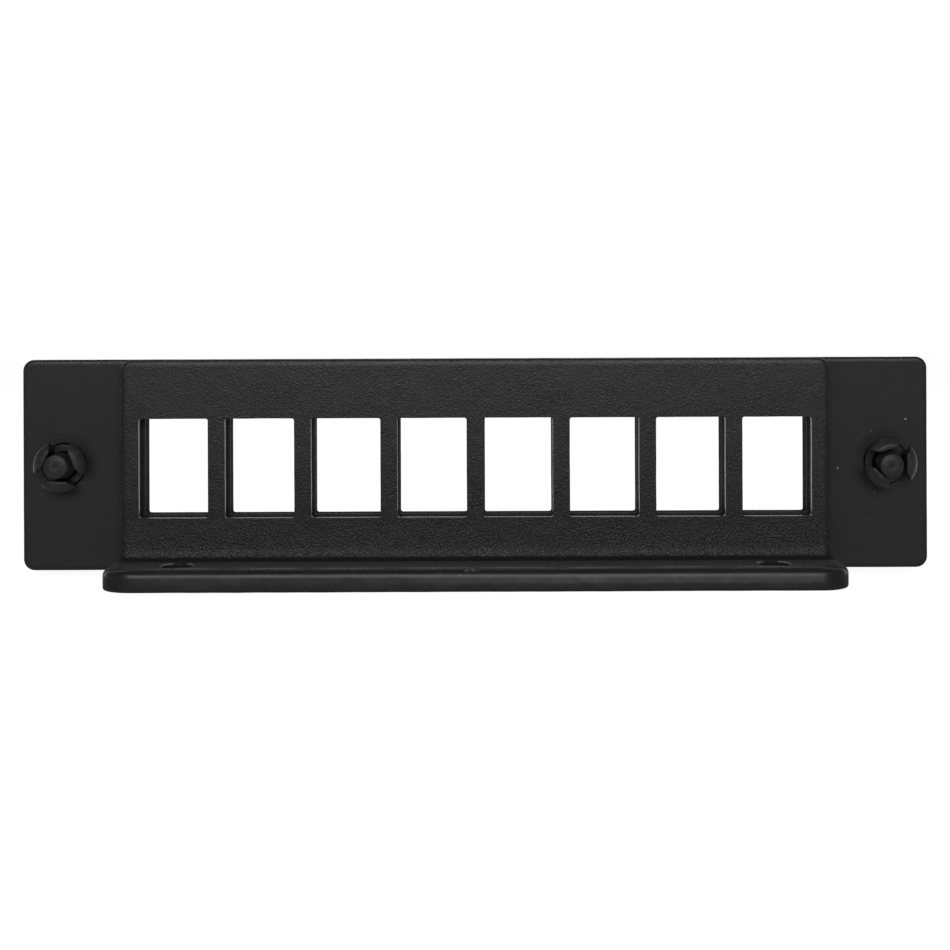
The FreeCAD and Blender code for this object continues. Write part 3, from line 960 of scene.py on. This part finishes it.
def place_group(tree, name, **inputs):
    """Result of a shared group, built once, with its own values: underscores stand for spaces."""
    made = tree.nodes.new("ShaderNodeGroup")
    made.node_tree = bpy.data.node_groups.get(name) or GROUP_MAKERS[name](name)
    for socket_name, value in inputs.items():
        socket = made.inputs[socket_name.replace("_", " ")]
        if isinstance(value, bpy.types.NodeSocket):
            tree.links.new(value, socket)
        else:
            socket.default_value = value
    return made.outputs[0]


def dust(tree, places, spacing, size, share):
    """Mask of dust specks."""
    return place_group(
        tree, "Dust specks", Vector=places, Spacing=spacing, Speck_size=size, Share=share
    )


def scratch(tree, places, start, end, width):
    """Mask of a scratch, whose ends and width are in millimetres."""
    return place_group(
        tree,
        "Fine scratch",
        Vector=places,
        Start=tuple(value * MM for value in start),
        End=tuple(value * MM for value in end),
        Width=width * MM,
    )


# Materials


def blank_material(name):
    """A material with its shader and the object's own coordinates, ready for its nodes."""
    material = bpy.data.materials.new(name)
    material.use_nodes = True
    tree = material.node_tree
    shader = tree.nodes["Principled BSDF"]
    places = tree.nodes.new("ShaderNodeTexCoord").outputs["Object"]
    return material, tree, shader, places


def largest(tree, masks):
    """The strongest of several masks."""
    result = masks[0]
    for mask in masks[1:]:
        result = math_node(tree, "MAXIMUM", result, mask)
    return result


def ramp(tree, value, low, high, start=0.0, end=1.0):
    """Value taken from one range to another, held at both ends."""
    inputs = {"Value": value, "From Min": low, "From Max": high, "To Min": start, "To Max": end}
    return add_node(tree, "ShaderNodeMapRange", inputs).outputs["Result"]


def set_gloss(shader, roughness, level):
    """Even roughness and specular level of a surface."""
    shader.inputs["Roughness"].default_value = roughness
    shader.inputs["Specular IOR Level"].default_value = level


def paint(tree, shader, base, mark, mask):
    """Gives the surface its base colour, and the mark's colour where the mask is strong."""
    made = tree.nodes.new("ShaderNodeMix")
    made.data_type = "RGBA"
    made.inputs[6].default_value = (*base, 1.0)
    made.inputs[7].default_value = (*mark, 1.0)
    tree.links.new(mask, made.inputs[0])
    tree.links.new(made.outputs[2], shader.inputs["Base Color"])


def emboss(tree, shader, height):
    """Raises the surface's shading by a height in millimetres."""
    bump = add_node(tree, "ShaderNodeBump", {"Height": height, "Distance": MM, "Strength": 1.0})
    tree.links.new(bump.outputs["Normal"], shader.inputs["Normal"])


def peel(tree, places, size, depth, swell):
    """Height of orange peel with grains of the given size and depth, over swells."""
    return place_group(
        tree, "Coat relief", Vector=places, Grain_size=size, Grain_depth=depth, Swell_depth=swell
    )


def thin_coat_material(look):
    """Dull dry coat on the windows' walls, with a scratch on the wall of the last window."""
    material, tree, shader, places = blank_material("Black coat, thin and dull")
    scrape = scratch(tree, places, (47.5, 0.3, -2.3), (47.5, 2.9, -4.1), 0.13)
    cloud = ramp(tree, noise(tree, places, 700.0, 4.0), 0.55, 0.8, 0.0, 0.03)
    paint(tree, shader, look.thin_coat_colour, look.dust_and_glint_colour, largest(tree, [scrape, cloud]))
    set_gloss(shader, 0.9, 0.06)
    emboss(tree, shader, peel(tree, places, 0.3 * MM, 0.06, 0.03))
    return material


def thread_material(look):
    """Thread with painted glints: a bright bare-metal colour painted only at each bore's left and right,
    where the thread catches the light.
    """
    material, tree, shader, places = blank_material("Thread with painted glints")
    hole = MOUNTS["flange_holes"]
    mouth = hole["pos_m"][2] + 1.9 * MM
    place = add_node(tree, "ShaderNodeSeparateXYZ", {"Vector": places}).outputs
    distance = math_node(tree, "ABSOLUTE", place["X"])
    aside = math_node(tree, "SUBTRACT", distance, hole["dims"]["spacing_x_mm"] * MM / 2.0)
    aside = ramp(tree, math_node(tree, "ABSOLUTE", aside), 0.9 * MM, 1.15 * MM)
    high = ramp(tree, place["Z"], mouth - 0.45 * MM, mouth - 0.35 * MM)
    patchy = ramp(tree, noise(tree, places, 2400.0, 3.0), 0.3, 0.5)
    # Painted highlight: the glint mask, kept to the left and right sides of each bore.
    wear_and_glint = math_node(tree, "MULTIPLY", aside, math_node(tree, "MULTIPLY", high, patchy))
    paint(tree, shader, look.coat_colour, look.thread_glint_colour, wear_and_glint)
    set_gloss(shader, 0.5, 0.5)
    emboss(tree, shader, peel(tree, places, 0.2 * MM, 0.02, 0.02))
    return material


def coated_material(name, look, finish, marks, grain_floor=-1.0, rim=1.0):
    """Black powder coat: orange peel, uneven gloss, dust, and the marks that the sheet carries, some of
    them painted glints.

    The finish is the colour, the roughness, the roughness above the height of the rim, where the
    coat is thick, and the depth of the grains in millimetres.
    The peel gets coarser down to the grain floor and fades out below it, where the coat has run
    smooth.
    """
    base_colour, roughness, rim_roughness, grain_depth = finish
    material, tree, shader, places = blank_material(name)
    z = add_node(tree, "ShaderNodeSeparateXYZ", {"Vector": places}).outputs["Z"]
    coarser = ramp(tree, z, grain_floor + 5.2 * MM, grain_floor + 0.2 * MM, 1.0, 2.4)
    fading = ramp(tree, z, grain_floor - 0.8 * MM, grain_floor)
    grains = math_node(tree, "MULTIPLY", math_node(tree, "MULTIPLY", coarser, fading), grain_depth)
    height = peel(tree, places, look.peel_size, grains, grain_depth * 0.5)
    masks, raised = marks(tree, places)
    if raised is not None:
        height = math_node(tree, "ADD", height, raised)
    specks = [dust(tree, places, 3.2 * MM, 0.05, 0.5), dust(tree, places, 1.3 * MM, 0.06, 0.35)]
    # Dust and scuffs take this colour, and so do the painted glints where the marks hold them.
    paint(tree, shader, base_colour, look.dust_and_glint_colour, largest(tree, specks + masks))
    set_gloss(shader, roughness, 0.5)
    patches = noise(tree, places, 260.0, 3.0)
    gloss = ramp(tree, patches, 0.3, 0.7, roughness - 0.04, roughness + 0.05)
    thick = ramp(tree, z, rim, rim + 0.5 * MM, 0.0, rim_roughness - roughness)
    tree.links.new(math_node(tree, "ADD", gloss, thick), shader.inputs["Roughness"])
    shader.inputs["Sheen Weight"].default_value = look.coat_sheen
    shader.inputs["Sheen Roughness"].default_value = 0.4
    emboss(tree, shader, height)
    return material


def ear_marks(tree, places):
    """Crinkled coating beside each fastener, with bright specks over it that are painted highlights on its
    crests.
    """
    arcs = [
        place_group(
            tree,
            "Crinkled arc",
            Vector=places,
            Centre=MOUNTS[side + "_fastener"]["pos_m"],
            Towards=towards,
            Radius=4.7 * MM,
            Width=1.0 * MM,
            Spread=0.3,
        )
        for side, towards in (("left", (0.7, 0.0, 0.71)), ("right", (-0.87, 0.0, 0.5)))
    ]
    arc = largest(tree, arcs)
    wrinkle = math_node(tree, "MULTIPLY", noise(tree, places, 1900.0, 3.0, 0.6, 1.2), 0.085)
    # Painted highlight: bright specks over the crinkled band.
    specks = dust(tree, places, 0.7 * MM, 0.2, 0.3)
    return [math_node(tree, "MULTIPLY", specks, arc)], math_node(tree, "MULTIPLY", wrinkle, arc)


def bracket_marks(tree, places):
    """Scuffs on the flange's top and front edge, and painted glints on the flange's shoulders: ends, width
    and strength of each, in millimetres.
    """
    lines = [
        ((2.9, -10.0, -13.4), (3.7, -10.5, -13.4), 0.12, 0.5),
        ((3.7, -10.5, -13.4), (4.8, -11.2, -13.35), 0.26, 0.8),
        ((-2.1, -12.4, -14.0), (-1.9, -12.4, -13.85), 0.16, 0.4),
        ((-1.45, -12.2, -13.5), (-1.25, -11.9, -13.35), 0.2, 0.5),
        ((-1.0, -12.0, -13.35), (-0.75, -12.4, -13.6), 0.18, 0.5),
        ((-0.4, -11.9, -13.35), (-0.1, -12.3, -13.5), 0.2, 0.5),
        ((0.2, -12.0, -13.35), (0.6, -12.3, -13.5), 0.18, 0.25),
        ((-44.5, -10.6, -13.4), (-44.2, -10.7, -13.4), 0.2, 0.45),
        ((-41.3, -12.3, -13.4), (-41.2, -12.4, -13.6), 0.2, 0.5),
        # The last three lines are painted highlights: bright glints on the shoulders at the flange's ends,
        # not scuffs.
        ((-50.3, -3.2, -13.0), (-50.2, -3.3, -13.1), 0.15, 0.6),
        ((50.35, -2.9, -12.7), (50.5, -3.1, -12.95), 0.3, 0.7),
        ((50.6, -3.2, -13.1), (51.1, -4.0, -13.4), 0.15, 0.4),
    ]
    patchy = ramp(tree, noise(tree, places, 5200.0, 2.0), 0.4, 0.55, 0.25, 1.0)
    scuffs_and_glints = []
    for start, end, width, strength in lines:
        wear_and_glint = math_node(tree, "MULTIPLY", scratch(tree, places, start, end, width), patchy)
        scuffs_and_glints.append(math_node(tree, "MULTIPLY", wear_and_glint, strength))
    return scuffs_and_glints, None


def moulded_material(look):
    """Black nylon: satin, with a faint mottle, fine grain and a few specks."""
    material, tree, shader, places = blank_material("Black moulded nylon")
    mottle = ramp(tree, noise(tree, places, 1500.0, 4.0, 0.6), 0.52, 0.75, 0.0, 0.06)
    mark = largest(tree, [mottle, dust(tree, places, 0.8 * MM, 0.1, 0.25)])
    paint(tree, shader, look.moulding_colour, look.dust_and_glint_colour, mark)
    set_gloss(shader, look.moulding_roughness, 0.4)
    emboss(tree, shader, peel(tree, places, 0.25 * MM, 0.012, 0.03))
    return material


# Studio


def direct_view(tree):
    """1 for the rays that show the background: straight ones, mirrored ones and those through glass."""
    rays = tree.nodes.new("ShaderNodeLightPath").outputs
    seen = math_node(tree, "MAXIMUM", rays["Is Camera Ray"], rays["Is Glossy Ray"])
    return math_node(tree, "MAXIMUM", seen, rays["Is Transmission Ray"])


def make_world(settings):
    """White where it is seen, and an even dim light where it falls on the object."""
    world = bpy.data.worlds.new("Studio")
    world.use_nodes = True
    tree = world.node_tree
    background = tree.nodes["Background"]
    background.inputs["Color"].default_value = (1.0, 1.0, 1.0, 1.0)
    seen = direct_view(tree)
    strength = math_node(tree, "MAXIMUM", seen, settings.room_light)
    tree.links.new(strength, background.inputs["Strength"])
    bpy.context.scene.world = world


def make_floor(settings):
    """Wide pale floor under the object, lit by the studio and lifted to white where it is seen."""
    half = 3.0
    level = cad_low[2] - 0.02 * MM
    grid = np.linspace(-half, half, 3)
    x, y = np.meshgrid(grid, grid)
    floor = mesh_piece("studio_floor", [(np.stack([x, y, np.full(x.shape, level)], axis=-1), False, None)])
    material, tree, shader, _ = blank_material("Pale floor")
    shader.inputs["Base Color"].default_value = (0.8, 0.8, 0.8, 1.0)
    set_gloss(shader, 0.9, 0.0)
    glow = math_node(tree, "MULTIPLY", direct_view(tree), settings.floor_glow)
    spread = tree.nodes.new("ShaderNodeLightPath").outputs["Is Diffuse Ray"]
    glow = math_node(tree, "ADD", glow, math_node(tree, "MULTIPLY", spread, settings.floor_bounce))
    material.cycles.emission_sampling = "NONE"
    shader.inputs["Emission Color"].default_value = (1.0, 1.0, 1.0, 1.0)
    tree.links.new(glow, shader.inputs["Emission Strength"])
    floor.data.materials.append(material)


def add_soft_box(settings):
    """Rectangular light in front of the rear face and above the camera, turned to the object."""
    low, high = math.radians(settings.soft_box_low), math.radians(settings.soft_box_high)
    data = bpy.data.lights.new("Soft box", "AREA")
    data.shape = "RECTANGLE"
    data.size = settings.soft_box_width
    data.size_y = 2.0 * settings.soft_box_distance * math.tan((high - low) / 2.0)
    data.energy = settings.soft_box
    light = bpy.data.objects.new("Soft box", data)
    middle = (low + high) / 2.0
    towards = Vector((0.0, -math.cos(middle), math.sin(middle)))
    light.location = towards * settings.soft_box_distance
    light.rotation_euler = towards.to_track_quat("Z", "Y").to_euler()
    bpy.context.scene.collection.objects.link(light)


def make_curtain():
    """Black curtain that only mirrored rays see: a dome over the front half, and a cloth below it.

    The dome is a sphere given by azimuth and elevation about the origin. The cloth is flat and
    reaches from under the object to the dome.
    """
    radius = 1.4
    azimuth, elevation = np.meshgrid(
        np.radians(np.linspace(-110.0, 110.0, 56)), np.radians(np.linspace(-1.0, 90.0, 24))
    )
    dome = radius * np.stack(
        [
            np.cos(elevation) * np.sin(azimuth),
            -np.cos(elevation) * np.cos(azimuth),
            np.sin(elevation),
        ],
        axis=-1,
    )
    x, y = np.meshgrid(np.linspace(-radius, radius, 9), np.linspace(-radius, 3.0 * MM, 9))
    cloth = np.stack([x, y, np.full(x.shape, cad_low[2] - 0.01 * MM)], axis=-1)
    curtain = mesh_piece("studio_curtain", [(dome, False, None), (cloth, False, None)])
    material, tree, shader, places = blank_material("Black cloth")
    weave = noise(tree, places, 900.0, 2.0)
    paint(tree, shader, (0.004, 0.004, 0.004), (0.008, 0.008, 0.008), weave)
    set_gloss(shader, 1.0, 0.0)
    curtain.data.materials.append(material)
    curtain.visible_camera = False
    curtain.visible_diffuse = False
    curtain.visible_shadow = False
    curtain.visible_transmission = False


def make_camera(settings):
    """Level camera in front of the rear face, with a dropped picture instead of a tilt."""
    data = bpy.data.cameras.new("View")
    data.lens = settings.focal_pixels * data.sensor_width
    data.shift_y = settings.picture_drop
    data.clip_start = 0.01
    camera = bpy.data.objects.new("View", data)
    face_y = -bpy.context.scene.adapter_sheets.bracket_thickness
    camera.location = (settings.view_side, face_y - settings.view_distance, settings.view_height)
    camera.rotation_euler = (math.pi / 2.0, math.radians(settings.view_roll), 0.0)
    bpy.context.scene.collection.objects.link(camera)
    bpy.context.scene.camera = camera


# Operators, panel and registration


class ADAPTER_OT_ear_plate(bpy.types.Operator):
    """Make the flat ear plate with its coating"""

    bl_idname = "adapter_plate.ear_plate"
    bl_label = "Ear plate"

    def execute(self, context):
        scene = context.scene
        look = scene.adapter_look
        finish = look.ear_colour, look.ear_roughness, look.ear_rim_roughness, look.ear_peel_depth
        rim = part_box("ear_plate")[1].z - 1.0 * MM
        material = coated_material("Black coat, fine", look, finish, ear_marks, rim=rim)
        make_ear_plate(scene.adapter_sheets, [material, thin_coat_material(look)])
        return {"FINISHED"}


class ADAPTER_OT_flange_bracket(bpy.types.Operator):
    """Make the bent flange bracket with its coating"""

    bl_idname = "adapter_plate.flange_bracket"
    bl_label = "Flange bracket"

    def execute(self, context):
        scene = context.scene
        look = scene.adapter_look
        floor = -12.6 * MM
        finish = look.coat_colour, look.coat_roughness, look.coat_roughness, look.peel_depth
        material = coated_material("Black coat, coarse", look, finish, bracket_marks, floor)
        materials = [material, thin_coat_material(look), thread_material(look)]
        make_flange_bracket(scene.adapter_sheets, materials)
        return {"FINISHED"}


class ADAPTER_OT_fasteners(bpy.types.Operator):
    """Make both push fasteners: the grommets and their plungers"""

    bl_idname = "adapter_plate.fasteners"
    bl_label = "Push fasteners"

    def execute(self, context):
        scene = context.scene
        material = moulded_material(scene.adapter_look)
        for side in SIDES:
            make_grommet(scene.adapter_fasteners, side, material)
            make_plunger(scene.adapter_fasteners, side, material)
        return {"FINISHED"}


class ADAPTER_OT_stage(bpy.types.Operator):
    """Make the floor, the lights, the world and the camera"""

    bl_idname = "adapter_plate.stage"
    bl_label = "Studio"

    def execute(self, context):
        settings = context.scene.adapter_studio
        context.scene.view_settings.view_transform = "Standard"
        make_world(settings)
        make_floor(settings)
        make_curtain()
        add_soft_box(settings)
        make_camera(settings)
        return {"FINISHED"}


PIECE_OPERATORS = (
    ADAPTER_OT_stage,
    ADAPTER_OT_ear_plate,
    ADAPTER_OT_flange_bracket,
    ADAPTER_OT_fasteners,
)


class ADAPTER_PT_panel(bpy.types.Panel):
    """Lists the operators that make the adapter plate"""

    bl_idname = "ADAPTER_PT_panel"
    bl_label = "Adapter plate"
    bl_space_type = "VIEW_3D"
    bl_region_type = "UI"
    bl_category = "Adapter plate"

    def draw(self, context):
        for operator in PIECE_OPERATORS:
            self.layout.operator(operator.bl_idname)


PROPERTY_GROUPS = {
    "adapter_sheets": SheetSizes,
    "adapter_fasteners": FastenerSizes,
    "adapter_look": CoatingLook,
    "adapter_studio": StudioSettings,
}


def register():
    """Registers the classes and hangs the property groups on the scene."""
    for name, group in PROPERTY_GROUPS.items():
        bpy.utils.register_class(group)
        setattr(bpy.types.Scene, name, PointerProperty(type=group))
    for operator in PIECE_OPERATORS:
        bpy.utils.register_class(operator)
    bpy.utils.register_class(ADAPTER_PT_panel)


def unregister():
    """Takes back what register adds."""
    bpy.utils.unregister_class(ADAPTER_PT_panel)
    for operator in reversed(PIECE_OPERATORS):
        bpy.utils.unregister_class(operator)
    for name, group in PROPERTY_GROUPS.items():
        delattr(bpy.types.Scene, name)
        bpy.utils.unregister_class(group)


def main():
    """Builds everything."""
    register()
    bpy.ops.adapter_plate.stage()
    bpy.ops.adapter_plate.ear_plate()
    bpy.ops.adapter_plate.flange_bracket()
    bpy.ops.adapter_plate.fasteners()


if __name__ == "__main__":
    main()
